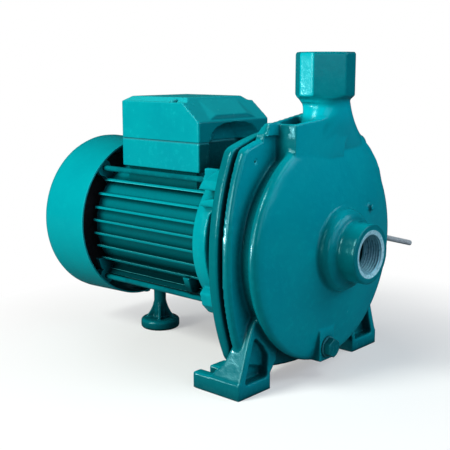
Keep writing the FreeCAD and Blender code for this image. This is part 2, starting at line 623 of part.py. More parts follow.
def motor_frame():
    envelope = cyl_y(FIN_R, FIN_Y0, FIN_Y1)
    half = FIN_T / 2
    fins = [box(-62, 62, FIN_Y0, FIN_Y1, z - half, z + half).common(envelope)
            for z in FIN_Z]
    fins += [box(x - half, x + half, FIN_Y0, FIN_Y1, -62, -40).common(envelope)
             for x in FIN_X]
    pads = [box(-38, 38, BOX_Y0 + 9.5, BOX_Y1 - 1.0, 36, BOX_Z0)]
    pads += side_lugs([(-38, -33), (-54.2, -33), (-49.6, -45.6), (-38, -45.6)],
                      142.6, 149.6)
    pads.append(cyl_z(10.5, -59.4, -45, 0, MOTOR_FOOT_Y))
    # fins that point at the two lower tie rods
    rod_fin = box(50, math.hypot(ROD_X, ROD_Z) - 3.0, FIN_Y0, FIN_Y1, -half, half)
    pads += [turned_y(rod_fin, angle) for angle in (ROD_ANGLE, 180 - ROD_ANGLE)]
    frame = fuse(cyl_y(TUBE_RO, FRAME_Y0, FRAME_Y1), *(fins + pads))
    frame = cut_each(frame, [
        cyl_y(STATOR_RO, FRAME_Y0 - 1, FRAME_Y1 + 1),
        cyl_y(52.0, FRAME_Y0 - 1, FRAME_Y0 + 5.2),
        cyl_z(9.0, 45, 60, 0, FRAME_HOLE_Y),
        cyl_z(3.05, -65, -48.6, 0, MOTOR_FOOT_Y),
        cyl_z(10.5, -66, -59.42, 0, MOTOR_FOOT_Y)])
    return largest(cut_each(frame, [cyl_z(2.05, 47.0, 60, x, y) for x, y in BOX_SCREWS]))


save("motor_frame", motor_frame())


# ------------------------------------------------------------------ rear end shield, tie rods
def rear_end_shield():
    y0 = FRAME_Y1 + 0.2
    plate = revolve_y([(0, FRAME_Y1), (54.3, FRAME_Y1), (54.3, 258.6), (51.5, 260.6),
                       (50.0, SHIELD_FACE), (26, 264.6), (24, 264.6), (0, 264.6)])
    arm = box(44, 69.0, y0, SHIELD_FACE, -4.6, 4.6)
    arms = [turned_y(arm, -angle)
            for angle in (ROD_ANGLE, 180 - ROD_ANGLE, 180 + ROD_ANGLE, -ROD_ANGLE)]
    lugs = side_lugs([(-34, -33), (-54.2, -33), (-50.4, -43.6), (-34, -43.6)], y0, 262.2)
    shield = fuse(plate, ring(50.9, 46.5, 252.4, FRAME_Y1 + 0.5), cyl_y(23.5, 245.6, 259),
                  *(lugs + arms))
    for x, z in TIE_RODS:
        shield = shield.fuse(cyl_y(7.4, y0, SHIELD_FACE, x, z))
    # blocks that take the fan cover screws
    for angle in COVER_SCREW_ANGLES:
        shield = shield.fuse(turned_y(box(44, 72.75, 257.0, 263.5, -5.5, 5.5), -angle))
    shield = shield.common(cyl_y(72.45, 240, 270)).removeSplitter()
    bore = revolve_y([(0, 240), (17.5, 240), (17.5, 259.6), (10.0, 259.6), (10.0, 270),
                      (0, 270)])
    holes = [cyl_y(2.7, 250, 270, x, z) for x, z in TIE_RODS]
    holes += [turned_y(cyl_x(1.65, 63, 76, COVER_SCREW_Y), -angle)
              for angle in COVER_SCREW_ANGLES]
    return cut_each(shield, [bore] + holes)


save("rear_end_shield", rear_end_shield())
save("wave_washer", ring(16.8, 13.6, 258.35, 259.25))
save("tie_rods", *[cyl_y(2.5, 111.5, 268.2, x, z) for x, z in TIE_RODS])
save("tie_rod_nuts", *[hex_y(8.0, SHIELD_FACE + 1, 267.6, x, z)
                       .cut(cyl_y(2.52, 260, 270, x, z)) for x, z in TIE_RODS])
save("tie_rod_washers", *[cyl_y(4.8, SHIELD_FACE, SHIELD_FACE + 1, x, z)
                          .cut(cyl_y(2.6, 260, 270, x, z)) for x, z in TIE_RODS])


# ------------------------------------------------------------------ fan and fan cover
def cooling_fan():
    hub = revolve_y([(7.0, 268.6), (11.5, 268.6), (12.5, 276.5), (56, 280.5), (60, 281.0),
                     (60, 282.4), (12.5, 279.5), (12.0, 293.0), (7.0, 293.0)])
    blade = prism_xy([(10.5, 277.5), (57.0, 281.5), (60.0, 282.2), (60.0, 292.5),
                      (50, 297.0), (22, 296.0), (10.5, 290)], -1.1, 1.1)
    blade.rotate(Vector(20, 0, 0), AXIS_Y, 12)
    fan = fuse(hub, *[turned_y(blade, 40 * i) for i in range(9)])
    return largest(fan.cut(cyl_y(7.0, 260, 300)))


def fan_cover():
    # (radius, y) outside from the open end to the grille, then back along the inside
    cover = revolve_y([
        (COVER_R0, COVER_Y0), (COVER_R1, 301), (75.5, 305), (74.2, 308.3), (71.5, 310.8),
        (67.5, COVER_Y1), (0, COVER_Y1), (0, COVER_Y1 - COVER_T),
        (67.2, COVER_Y1 - COVER_T), (70.7, 309.6), (72.9, 307.4), (74.0, 304.6),
        (COVER_R1 - COVER_T, 300.8), (COVER_R0 - COVER_T, COVER_Y0)])
    spokes = [turned_y(box(8, 70, 308, 315, -2.6, 2.6), 60 * i + 30) for i in range(6)]
    for i in range(6):
        r = 14.0 + 7.2 * i
        cover = cover.cut(ring(r + 3.4, r, 309, 314).cut(spokes))
    cover = cover.cut(cyl_y(4.2, 309, 314))
    for angle in COVER_SCREW_ANGLES:
        cover = cover.cut(turned_y(cyl_x(1.9, 70, 78, COVER_SCREW_Y), -angle))
    return largest(cover)


def fan_cover_screw(angle):
    """Screw with a cross slot in its head."""
    y = COVER_SCREW_Y
    screw = fuse(cyl_x(1.6, 65.5, 75.0, y), cyl_x(3.2, 74.9, 76.6, y))
    screw = screw.cut(box(75.9, 77, 256, 264, -0.45, 0.45))
    screw = screw.cut(box(75.9, 77, y - 0.45, y + 0.45, -4, 4))
    return turned_y(screw, -angle)


save("cooling_fan", cooling_fan())
save("fan_clip", ring(9.2, 6.42, 293.25, 294.35).cut(box(-3.2, 3.2, 290, 300, 0, 12)))
save("fan_cover", fan_cover())
save("fan_cover_screws", *[fan_cover_screw(angle) for angle in COVER_SCREW_ANGLES])

# ------------------------------------------------------------------ terminal box
# (x, z) arched recess in the front of the box, and its narrower rear end in the lid
ARCH = [
    (-32.5, 50), (32.5, 50), (32.5, 80), (30, 85.5), (24, 90.2), (14, 93.2),
    (0, 94.2), (-14, 93.2), (-24, 90.2), (-30, 85.5), (-32.5, 80)]
ARCH_REAR = [
    (-14, 50), (14, 50), (14, 80), (13, 85.5), (10.5, 89.6), (6, 92.2),
    (0, 93.2), (-6, 92.2), (-10.5, 89.6), (-13, 85.5), (-14, 80)]


def front_cavities(z0, z1):
    """Hollows on either side of the front recess."""
    y0, y1 = BOX_Y0 + 2.8, BOX_Y0 + 20
    return [box(-BOX_IN_X, -35.3, y0, y1, z0, z1), box(35.3, BOX_IN_X, y0, y1, z0, z1)]


def box_cavity(z0):
    return fuse(box(-BOX_IN_X, BOX_IN_X, BOX_IN_Y0, BOX_IN_Y1, z0, 90),
                *front_cavities(z0, 90))


def screw_posts(x_in, z0, z1):
    y0, y1 = LID_SCREW_Y - 3.5, LID_SCREW_Y + 3.5
    return [box(-42.5, -x_in, y0, y1, z0, z1), box(x_in, 42.5, y0, y1, z0, z1)]


def terminal_box():
    base = box(-BOX_X, BOX_X, BOX_Y0, BOX_Y1, BOX_Z0, GASKET_Z0)
    base = soften(base, 2.0, lambda e: along(e, AXIS_Z))
    base = cut_each(base, [
        prism_xz(ARCH, BOX_Y0 - 5, BOX_Y0 + 13.0), box_cavity(BOX_FLOOR),
        cyl_z(9.0, 50, 60, 0, FRAME_HOLE_Y), cyl_x(8.1, 38, 50, GLAND_Y, GLAND_Z)])
    base = fuse(base, *screw_posts(37.5, BOX_Z0 + 2, GASKET_Z0))
    holes = [cyl_z(1.6, 62, 90, side * LID_SCREW_X, LID_SCREW_Y) for side in SIDES]
    holes += [cyl_z(2.2, 50, 60, x, y) for x, y in BOX_SCREWS]
    holes.append(cyl_z(2.05, 50, 60, EARTH_X, EARTH_Y))
    return cut_each(base, holes)


def box_screw(x, y):
    return fuse(cyl_z(2.0, 48.5, 58.2, x, y), cyl_z(3.9, 58.0, 60.6, x, y))


def lid_gasket():
    gasket = box(-BOX_X + 0.6, BOX_X - 0.6, BOX_Y0 + 0.6, BOX_Y1 - 0.6, GASKET_Z0, GASKET_Z1)
    gasket = gasket.cut(prism_xz([(-33.1, 50), (33.1, 50), (33.1, 90), (-33.1, 90)],
                                 BOX_Y0 - 5, BOX_Y0 + 13.6))
    return gasket.cut(box_cavity(70))


def tilted_level(front_x, front_y, front_z, rear_x, rear_y, rear_z):
    """Four points, symmetric about x = 0, from half widths at a front and a rear edge."""
    return [Vector(-front_x, front_y, front_z), Vector(front_x, front_y, front_z),
            Vector(rear_x, rear_y, rear_z), Vector(-rear_x, rear_y, rear_z)]


def terminal_lid():
    shell = prism_yz([(BOX_Y0, GASKET_Z1), (BOX_Y0, 96.3), (156.8, LID_EDGE),
                      (BOX_Y1, LID_EDGE), (BOX_Y1, GASKET_Z1)], -BOX_X, BOX_X)
    shell = soften(shell, 2.0, lambda e: along(e, AXIS_Z))
    roof_x = BOX_X - 0.4
    roof = ruled_loft(
        tilted_level(roof_x, 152.5, LID_EDGE - 3.6, roof_x, BOX_Y1 - 0.3, LID_EDGE - 0.2),
        tilted_level(34.5, 161.5, LID_TOP, 34.5, BOX_Y1 - 3.0, LID_TOP))
    # raised panel down the sloping front
    brow = ruled_loft(tilted_level(38, 138.6, 95.0, 38, 156, 108.0),
                      tilted_level(20, 141.6, 101.6, 24, 162.0, LID_TOP))
    inside = prism_yz([(BOX_IN_Y0, 70), (BOX_IN_Y0, 101.5), (161.0, 109.6),
                       (BOX_IN_Y1, 109.6), (BOX_IN_Y1, 70)], -BOX_IN_X, BOX_IN_X)
    # the recess narrows towards the rear
    mouth = [(x, z + (1.4 if z > 80 else 0)) for x, z in ARCH]
    scoop = ruled_loft([Vector(x, BOX_Y0 - 0.01, z) for x, z in mouth],
                       [Vector(x, BOX_Y0 + 13.0, z) for x, z in ARCH_REAR])
    scoop = fuse(scoop, prism_xz(mouth, BOX_Y0 - 5, BOX_Y0 - 0.005))
    lid = fuse(shell, roof, brow).cut(inside).cut(fuse(*front_cavities(70, 92))).cut(scoop)
    lid = fuse(lid, *screw_posts(37.0, GASKET_Z1, 111))
    for side in SIDES:
        lid = lid.cut(cyl_z(2.0, 60, 120, side * LID_SCREW_X, LID_SCREW_Y))
        lid = lid.cut(cyl_z(3.4, 111.2, 120, side * LID_SCREW_X, LID_SCREW_Y))
    return lid


def lid_screw(x, y):
    """Slotted screw."""
    screw = fuse(cyl_z(1.55, 64, 111.3, x, y), cyl_z(3.2, 111.2, 113.6, x, y))
    return screw.cut(box(x - 4, x + 4, y - 0.45, y + 0.45, 112.8, 114))


save("terminal_box", terminal_box())
save("box_screws", *[box_screw(x, y) for x, y in BOX_SCREWS])
save("lid_gasket", lid_gasket())
save("terminal_lid", terminal_lid())
save("lid_screws", *[lid_screw(side * LID_SCREW_X, LID_SCREW_Y) for side in SIDES])


# ------------------------------------------------------------------ inside the box
def terminal_block():
    block = box(4, 32, 192, 208, BOX_FLOOR, BOX_Z0 + 12.0)
    for x in TERMINAL_XS:
        block = block.cut(box(x - 3.4, x + 3.4, 191, 209, BOX_Z0 + 9.0, BOX_Z0 + 13))
        block = block.cut(cyl_z(1.6, BOX_Z0 + 5, BOX_Z0 + 12, x, TERMINAL_Y))
    return block


def terminal_screw(x):
    return fuse(cyl_z(1.55, BOX_Z0 + 5.5, BOX_Z0 + 9.2, x, TERMINAL_Y),
                cyl_z(2.9, BOX_Z0 + 9.0, BOX_Z0 + 11.4, x, TERMINAL_Y))


def capacitor_clamp():
    band = cyl_y(17.2, 187, 195, CAP_X, CAP_Z).cut(cyl_y(16.0, 186, 196, CAP_X, CAP_Z))
    return fuse(band, box(CAP_X - 2.5, CAP_X + 2.5, 187, 195, BOX_FLOOR, 75.6))


save("terminal_block", terminal_block())
save("terminal_screws", *[terminal_screw(x) for x in TERMINAL_XS])
save("capacitor", revolve_y([(0, 177), (14.5, 177), (16.0, 178.5), (16.0, 225),
                             (15.0, 226.5), (0, 226.5)], CAP_X, CAP_Z))
save("capacitor_clamp", capacitor_clamp())
save("earth_screw", fuse(cyl_z(2.0, 55.5, 58.2, EARTH_X, EARTH_Y),
                         cyl_z(3.6, 58.0, 60.4, EARTH_X, EARTH_Y)))


# ------------------------------------------------------------------ cable gland, +X side
def gland_cyl(r, x0, x1):
    return cyl_x(r, x0, x1, GLAND_Y, GLAND_Z)


def gland_hex(flats, x0, x1):
    return hex_x(flats, x0, x1, GLAND_Y, GLAND_Z)


def gland_point(x):
    return Vector(x, GLAND_Y, GLAND_Z)


def cable_gland_body():
    body = fuse(gland_cyl(8.0, 37.5, 46), gland_hex(20.6, BOX_X, 50.0),
                gland_cyl(8.6, 49.5, 56.0))
    return body.cut(gland_cyl(4.4, 30, 51.0)).cut(gland_cyl(6.2, 50.9, 60))


def cable_gland_nut():
    nut = gland_hex(18.6, 38.6, 42.0).cut(gland_cyl(8.05, 30, 50))
    nut.rotate(gland_point(0), AXIS_X, 30)
    return nut.common(gland_cyl(9.75, 38.0, 43.0))


def cable_gland_cap():
    cap = fuse(gland_hex(20.6, 51.0, 57.0),
               Part.makeCone(10.0, 6.8, 5.0, gland_point(57.0), AXIS_X))
    return cap.cut(gland_cyl(8.65, 50, 56.2)).cut(gland_cyl(3.6, 50, 64))


def power_cable():
    """Cable straight out of the gland, then bending down and away."""
    start, bend_start = gland_point(20), gland_point(64)
    bend_end = Vector(193, 101.5, -29.6)
    bend = Part.BezierCurve()
    bend.setPoles([bend_start, gland_point(106), Vector(150, 105.26, -17.99), bend_end])
    path = Part.Wire([Part.makeLine(start, bend_start), bend.toShape(),
                      Part.makeLine(bend_end, Vector(233, 98.0, -40.4))])
    section = Part.Wire([Part.makeCircle(2.75, start, AXIS_X)])
    return path.makePipeShell([section], True, True)


save("cable_gland_body", cable_gland_body())
save("cable_gland_nut", cable_gland_nut())
save("cable_gland_cap", cable_gland_cap())
save("cable_gland_seal", gland_cyl(6.1, 51.1, 56.1).cut(gland_cyl(2.85, 40, 60)))
save("power_cable", power_cable())


# ------------------------------------------------------------------ motor foot
def motor_foot():
    """Round base and stem with four gussets."""
    y = MOTOR_FOOT_Y
    foot = revolve_z([
        (0, FLOOR), (17.0, FLOOR), (18.3, FLOOR + 1.2), (18.3, FLOOR + 7.2),
        (16.6, FLOOR + 9.0), (6.4, FLOOR + 9.4), (5.7, FLOOR + 12), (5.7, -64.0),
        (7.4, -61.5), (7.4, -59.5), (0, -59.5)], 0, y)
    # (x, height above the floor)
    gusset_outline = [(0, 8.0), (14.2, 8.0), (13.6, 9.6), (10.2, 14.0), (7.4, 19.5),
                      (5.3, 27), (0, 27)]
    gussets = []
    for i in range(4):
        gusset = prism_xz([(x, FLOOR + h) for x, h in gusset_outline], y - 1.4, y + 1.4)
        gusset.rotate(Vector(0, y, 0), AXIS_Z, 90 * i + 41.7)
        gussets.append(gusset)
    foot = fuse(foot, *gussets)
    foot = foot.cut(cyl_z(3.3, FLOOR - 1, -50, 0, y))
    return foot.cut(cyl_z(6.0, FLOOR - 1, FLOOR + 6.5, 0, y))


save("motor_foot", motor_foot())
save("foot_screw", fuse(cyl_z(3.0, FLOOR + 6.0, -49.2, 0, MOTOR_FOOT_Y),
                        cyl_z(5.0, FLOOR + 1.0, FLOOR + 6.5, 0, MOTOR_FOOT_Y)))
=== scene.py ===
"""A teal electric pump: casing, motor bracket, finned motor and terminal box, in a white studio.

The shaft runs along Y: the suction port opens towards -Y at the origin and the motor lies
towards +Y. The discharge port opens upwards (+Z) and the feet stand on the floor. CAD pieces
are in metres; measured lengths of the casing and ports are in millimetres (times MM).
"""
import json
import math

import bmesh
import bpy
import numpy as np
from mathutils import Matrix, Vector


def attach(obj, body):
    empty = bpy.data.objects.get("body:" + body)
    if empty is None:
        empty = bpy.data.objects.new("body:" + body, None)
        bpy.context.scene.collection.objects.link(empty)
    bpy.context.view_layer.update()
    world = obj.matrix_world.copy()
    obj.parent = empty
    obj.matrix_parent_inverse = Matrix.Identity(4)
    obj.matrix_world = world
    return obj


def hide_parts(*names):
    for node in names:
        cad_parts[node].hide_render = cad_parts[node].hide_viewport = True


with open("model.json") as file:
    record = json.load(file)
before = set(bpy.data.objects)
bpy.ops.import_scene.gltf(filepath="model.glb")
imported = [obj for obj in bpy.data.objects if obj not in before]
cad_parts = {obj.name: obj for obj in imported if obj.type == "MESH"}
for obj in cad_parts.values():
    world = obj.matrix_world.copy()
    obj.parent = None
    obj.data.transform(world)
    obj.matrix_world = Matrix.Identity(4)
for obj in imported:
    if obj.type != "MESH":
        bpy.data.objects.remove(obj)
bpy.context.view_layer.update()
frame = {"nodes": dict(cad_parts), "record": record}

record = frame["record"]
body_of = {node: body for body, nodes in record["behaviour"]["bodies"].items() for node in nodes}
slot_of = {part["node"]: part["material_slot"] for part in record["subparts"]}
scene = bpy.context.scene
MM = 0.001

# Driving dimensions, in millimetres
FLOOR_Z = -104.6
PORT_X, PORT_Y, PORT_Z = -3.5, 44.0, 152.3   # centre of the discharge port's top face
BORE_RADIUS = 18.55                          # room the casing skin leaves for a threaded sleeve
SLEEVE_RADIUS = 18.75                        # outside of a threaded sleeve
MOUTH_RADIUS = 18.35                         # wide end of the mouth chamfer
THREAD_RADIUS = 15.145                       # smallest radius of the thread
THREAD_DEPTH = 1.16
THREAD_PITCH = 2.309
SEAM_Z = 79.2                                # where terminal lid and box meet their gasket


# ------------------------------------------------------------------ colours
def linear(*srgb):
    """Linear colour from sRGB values of 0 to 255."""
    def channel(c):
        c /= 255.0
        return c / 12.92 if c <= 0.04045 else ((c + 0.055) / 1.055) ** 2.4
    return tuple(channel(c) for c in srgb)


def scaled(color, factor):
    return tuple(c * factor for c in color)


def glint(light, red, gain, lift_green, lift_blue):
    """Bright version of a paint, for painted highlights on edges."""
    green = min(1.0, light[1] * gain + lift_green)
    blue = min(1.0, light[2] * gain + lift_blue)
    return (red, green, blue)


TEAL = linear(0, 146, 156)
# TEAL_LIGHT and TEAL_DARK are lit and shaded copies of TEAL: they vary the tone at random, and
# the painted highlights and painted shade are built from them.
TEAL_LIGHT = linear(0, 178, 184)
TEAL_DARK = linear(0, 134, 148)
PAINT = (TEAL, TEAL_LIGHT, TEAL_DARK)


def muted(base, light, dark):
    """Darker paint: base and light are shares of TEAL, dark is a share of TEAL_DARK."""
    return scaled(TEAL, base), scaled(TEAL, light), scaled(TEAL_DARK, dark)


# ------------------------------------------------------------------ material builder
class Look:
    """Builds one procedural material around a Principled shader."""

    def __init__(self, name):
        self.material = bpy.data.materials.new(name)
        self.material.use_nodes = True
        self.tree = self.material.node_tree
        self.tree.nodes.clear()
        self.out = self.add("ShaderNodeOutputMaterial")
        self.shader = self.add("ShaderNodeBsdfPrincipled")
        self.link(self.shader.outputs["BSDF"], self.out.inputs["Surface"])
        self.coords = self.add("ShaderNodeTexCoord").outputs["Object"]

    def add(self, kind, **props):
        node = self.tree.nodes.new(kind)
        for key, value in props.items():
            setattr(node, key, value)
        return node

    def link(self, source, target):
        self.tree.links.new(source, target)

    def put(self, value, socket):
        """Links a socket, or sets a number or an RGB colour."""
        if isinstance(value, bpy.types.NodeSocket):
            self.link(value, socket)
        elif socket.type == "RGBA":
            socket.default_value = (*value, 1.0)
        else:
            socket.default_value = value

    def noise(self, scale, detail, rough=0.5, vector=None):
        node = self.add("ShaderNodeTexNoise")
        self.link(vector or self.coords, node.inputs["Vector"])
        node.inputs["Scale"].default_value = scale
        node.inputs["Detail"].default_value = detail
        node.inputs["Roughness"].default_value = rough
        return node.outputs["Fac"]

    def stretch(self, scale):
        node = self.add("ShaderNodeMapping")
        self.link(self.coords, node.inputs["Vector"])
        node.inputs["Scale"].default_value = scale
        return node.outputs["Vector"]

    def axes(self, vector):
        node = self.add("ShaderNodeSeparateXYZ")
        self.link(vector, node.inputs[0])
        return node.outputs

    def normal_axes(self):
        return self.axes(self.add("ShaderNodeNewGeometry").outputs["Normal"])

    def remap(self, value, span, to):
        """Carries the range span linearly onto the range to, clamped."""
        node = self.add("ShaderNodeMapRange")
        self.put(value, node.inputs["Value"])
        for key, limit in zip(("From Min", "From Max", "To Min", "To Max"), (*span, *to)):
            node.inputs[key].default_value = limit
        return node.outputs["Result"]

    def math(self, operation, a, b=0.0):
        node = self.add("ShaderNodeMath", operation=operation)
        self.put(a, node.inputs[0])
        self.put(b, node.inputs[1])
        return node.outputs[0]

    def times(self, first, *others):
        for other in others:
            first = self.math("MULTIPLY", first, other)
        return first

    def shaft_distance(self, place):
        """Distance from the Y axis."""
        x, z = place["X"], place["Z"]
        return self.math("SQRT", self.math("ADD", self.times(x, x), self.times(z, z)))

    def mix(self, amount, a, b):
        node = self.add("ShaderNodeMix", data_type="RGBA", blend_type="MIX")
        for value, index in ((amount, 0), (a, 6), (b, 7)):
            self.put(value, node.inputs[index])
        return node.outputs[2]

    def tint(self, tone, color, by, span, to):
        """Mixes color over tone by an amount remapped from the value by."""
        return self.mix(self.remap(by, span, to), tone, color)

    def occlusion(self, distance, inside=False, samples=6):
        node = self.add("ShaderNodeAmbientOcclusion", samples=samples, inside=inside)
        node.inputs["Distance"].default_value = distance
        return node.outputs["AO"]

    def bevel(self, radius, samples=6):
        node = self.add("ShaderNodeBevel", samples=samples)
        node.inputs["Radius"].default_value = radius
        return node.outputs["Normal"]

    def bump(self, height, strength, distance, normal=None):
        node = self.add("ShaderNodeBump")
        self.put(height, node.inputs["Height"])
        node.inputs["Strength"].default_value = strength
        node.inputs["Distance"].default_value = distance
        if normal is not None:
            self.link(normal, node.inputs["Normal"])
        return node.outputs["Normal"]

    def finish(self, tone, roughness, normal, **others):
        """Sets the shader's inputs; others are named with _ for a space."""
        self.put(tone, self.shader.inputs["Base Color"])
        self.put(roughness, self.shader.inputs["Roughness"])
        self.put(normal, self.shader.inputs["Normal"])
        for key, value in others.items():
            self.put(value, self.shader.inputs[key.replace("_", " ")])
        return self.material


GLOSS = {"IOR": 1.45, "Specular_Tint": (0.22, 0.92, 1.0)}  # shared by all enamels


# ------------------------------------------------------------------ material kinds
def enamel(name, paint, cast, peel, rough, soft=0.0, coat=0.10, mottle=1.0, edge_gain=1.0,
           side=None):
    """Thick gloss paint: flow waves, fine peel, painted highlights on edges, painted shade in
    hollows and corners where the paint is also rougher; side adds further painted light and
    shade.
    """
    base, light, dark = paint
    look = Look(name)
    broad = look.noise(scale=26.0, detail=3.0)
    fine = look.noise(scale=900.0, detail=2.0)
    mid = look.noise(scale=210.0, detail=4.0, rough=0.55)
    tone = look.tint(dark, base, by=broad, span=(0.35, 0.65), to=(1.0 - mottle, 1.0))
    tone = look.tint(tone, light, by=mid, span=(0.52, 0.75), to=(0.0, 0.28 * mottle))
    # painted shade: darker in deep hollows, and in corners and creases
    near = look.occlusion(9 * MM)
    deep = look.occlusion(32 * MM, samples=8)
    tone = look.tint(tone, scaled(dark, 0.03), by=deep, span=(0.20, 0.72), to=(0.97, 0.0))
    tone = look.tint(tone, scaled(dark, 0.08), by=near, span=(0.25, 0.90), to=(0.75, 0.0))
    # painted light and shade of the given part
    if side:
        tone = side(look, tone)
    # painted highlight along the edges
    edge = look.occlusion(1.5 * MM, inside=True)
    edge_highlight = glint(light, red=0.05, gain=1.3, lift_green=0.08, lift_blue=0.10)
    tone = look.tint(tone, edge_highlight, by=edge, span=(0.25, 0.78), to=(0.55 * edge_gain, 0.0))
    normal = look.bevel(soft) if soft else None
    waves = look.noise(scale=55.0, detail=3.0)
    normal = look.bump(waves, strength=0.16 * cast, distance=2.2 * MM, normal=normal)
    normal = look.bump(mid, strength=0.22 * cast, distance=0.9 * MM, normal=normal)
    normal = look.bump(fine, strength=0.16 * peel, distance=0.25 * MM, normal=normal)
    uneven = look.remap(mid, span=(0.3, 0.8), to=(rough - 0.05, rough + 0.06))
    dusty = look.remap(near, span=(0.2, 0.9), to=(0.18, 0.0))
    return look.finish(tone, look.math("ADD", uneven, dusty), normal, Coat_Weight=coat,
                       Coat_Roughness=0.07, Specular_IOR_Level=0.26, **GLOSS)


def finned(name, paint):
    """Enamel on the motor body: painted highlights on the thin fin tips with painted shadow under
    them, and painted shade towards each fin's root, the lower half, the underside and the
    grooves.
    """
    base, light, dark = paint
    look = Look(name)
    mid = look.noise(scale=210.0, detail=4.0, rough=0.55)
    place = look.axes(look.coords)
    radius = look.shaft_distance(place)
    tone = look.tint(base, dark, by=mid, span=(0.4, 0.7), to=(0.0, 0.5))
    # painted shade: fin roots, then the lower half, then the underside
    for share, by, span, most in (
        (0.30, radius, (0.0545, 0.0602), 0.35),
        (0.10, place["Z"], (-0.050, 0.040), 0.60),
        (0.05, place["Z"], (-0.0420, -0.0350), 0.80),
    ):
        tone = look.tint(tone, scaled(dark, share), by=by, span=span, to=(most, 0.0))
    # painted shade in the grooves between the fins
    near = look.occlusion(12 * MM, samples=8)
    tone = look.tint(tone, scaled(dark, 0.04), by=near, span=(0.30, 0.92), to=(0.92, 0.0))
    # painted highlight on the upper side of each fin tip, painted shadow on its lower side
    edge = look.occlusion(1.0 * MM, inside=True)
    facing = look.axes(look.bevel(0.9 * MM, samples=8))
    tip = look.remap(edge, span=(0.20, 0.62), to=(1.0, 0.0))
    upper = look.times(tip, look.remap(facing["Z"], span=(0.15, 0.60), to=(0.0, 0.95)))
    lower = look.times(tip, look.remap(facing["Z"], span=(-0.10, 0.30), to=(0.80, 0.0)))
    tone = look.mix(lower, tone, scaled(dark, 0.20))
    edge_highlight = glint(light, red=0.12, gain=1.7, lift_green=0.1, lift_blue=0.1)
    tone = look.mix(upper, tone, edge_highlight)
    normal = look.bump(mid, strength=0.08, distance=0.6 * MM, normal=look.bevel(0.35 * MM))
    rough = look.remap(mid, span=(0.3, 0.8), to=(0.16, 0.26))
    return look.finish(tone, rough, normal, Coat_Weight=0.12, Coat_Roughness=0.06,
                       Specular_IOR_Level=0.3, **GLOSS)


def metal(name, base, light, rough, scale, brushed=None, bump=0.1, metallic=1.0, hollow_shade=0.5):
    """Grained metal with soft edges; brushed is the grain's stretch along X, Y and Z."""
    base, light = linear(*base), linear(*light)
    look = Look(name)
    vector = look.stretch(brushed) if brushed else None
    grain = look.noise(scale=scale, detail=4.0, rough=0.6, vector=vector)
    stain = look.noise(scale=70.0, detail=3.0)
    tone = look.tint(base, light, by=grain, span=(0.3, 0.7), to=(0.0, 1.0))
    tone = look.tint(tone, scaled(base, 0.6), by=stain, span=(0.45, 0.8), to=(0.0, 0.25))
    # painted shade in hollows and corners
    near = look.occlusion(4 * MM)
    tone = look.tint(tone, scaled(base, 0.18), by=near, span=(0.2, 0.9), to=(hollow_shade, 0.0))
    uneven = look.remap(grain, span=(0.25, 0.75), to=(rough - 0.07, rough + 0.10))
    normal = look.bump(grain, strength=bump, distance=0.2 * MM, normal=look.bevel(0.3 * MM))
    return look.finish(tone, uneven, normal, Metallic=metallic)


def plain(name, base, light, rough, scale=350.0, coat=0.0):
    """Rubber, plastic, carbon or ceramic with a fine grain."""
    base, light = linear(*base), linear(*light)
    look = Look(name)
    grain = look.noise(scale=scale, detail=4.0, rough=0.55)
    stain = look.noise(scale=40.0, detail=2.0)
    tone = look.tint(base, light, by=grain, span=(0.35, 0.7), to=(0.0, 1.0))
    tone = look.tint(tone, scaled(base, 0.7), by=stain, span=(0.4, 0.75), to=(0.0, 0.2))
    uneven = look.remap(grain, span=(0.3, 0.7), to=(rough - 0.06, rough + 0.08))
    normal = look.bump(grain, strength=0.12, distance=0.25 * MM, normal=look.bevel(0.3 * MM))
    return look.finish(tone, uneven, normal, Coat_Weight=coat)


# ------------------------------------------------------------------ painted light and shade on the enamel
def side_shade(axis, full, none, amount):
    """Painted shade on faces towards -X, full below one object coordinate, none above another."""
    def apply(look, tone):
        facing = look.normal_axes()
        place = look.axes(look.coords)
        here = look.remap(place[axis], span=(full, none), to=(1.0, 0.0))
        side = look.remap(facing["X"], span=(-0.85, -0.25), to=(amount, 0.0))
        return look.mix(look.times(side, here), tone, scaled(TEAL_DARK, 0.12))
    return apply


def casing_light_and_shade(look, tone):
    """Painted light on the upper face; painted shade on the octagon head, lower rear, suction
    boss and flange rim.
    """
    place = look.axes(look.coords)
    facing = look.normal_axes()
    upper = look.times(
        look.remap(place["Z"], span=(0.015, 0.090), to=(0.0, 0.55)),
        look.remap(place["Z"], span=(0.110, 0.116), to=(1.0, 0.0)),
        look.remap(place["Y"], span=(0.026, 0.048), to=(1.0, 0.4)))
    tone = look.mix(upper, tone, (0.0, 0.44, 0.53))
    # share of TEAL_DARK, then axis, span and range of the two factors
    for share, (where, span, to), (where2, span2, to2) in (
        (0.25, (place["Z"], (0.116, 0.120), (0.0, 1.0)),        # head, faces turned from -X
         (facing["X"], (-0.92, -0.78), (0.0, 0.52))),
        (0.20, (place["Z"], (-0.095, -0.035), (0.22, 0.0)),     # lower part towards +Y
         (place["Y"], (0.040, 0.050), (0.0, 1.0))),
        (0.20, (place["Y"], (0.0140, 0.0200), (1.0, 0.0)),      # boss at the suction end
         (facing["Y"], (-0.9, -0.4), (0.5, 0.22))),
    ):
        amount = look.times(look.remap(where, span, to), look.remap(where2, span2, to2))
        tone = look.mix(amount, tone, scaled(TEAL_DARK, share))
    return side_shade("Z", full=0.098, none=0.106, amount=0.70)(look, tone)


def front_light_and_shade(amount):
    """Painted light on faces looking up, painted shade on faces looking at the pump (-Y)."""
    def apply(look, tone):
        facing = look.normal_axes()
        tone = look.tint(tone, (0.02, 0.56, 0.60), by=facing["Z"], span=(0.55, 0.95),
                         to=(0.0, 0.55))
        return look.tint(tone, scaled(TEAL_DARK, 0.10), by=facing["Y"], span=(-0.95, -0.35),
                         to=(amount, 0.0))
    return apply


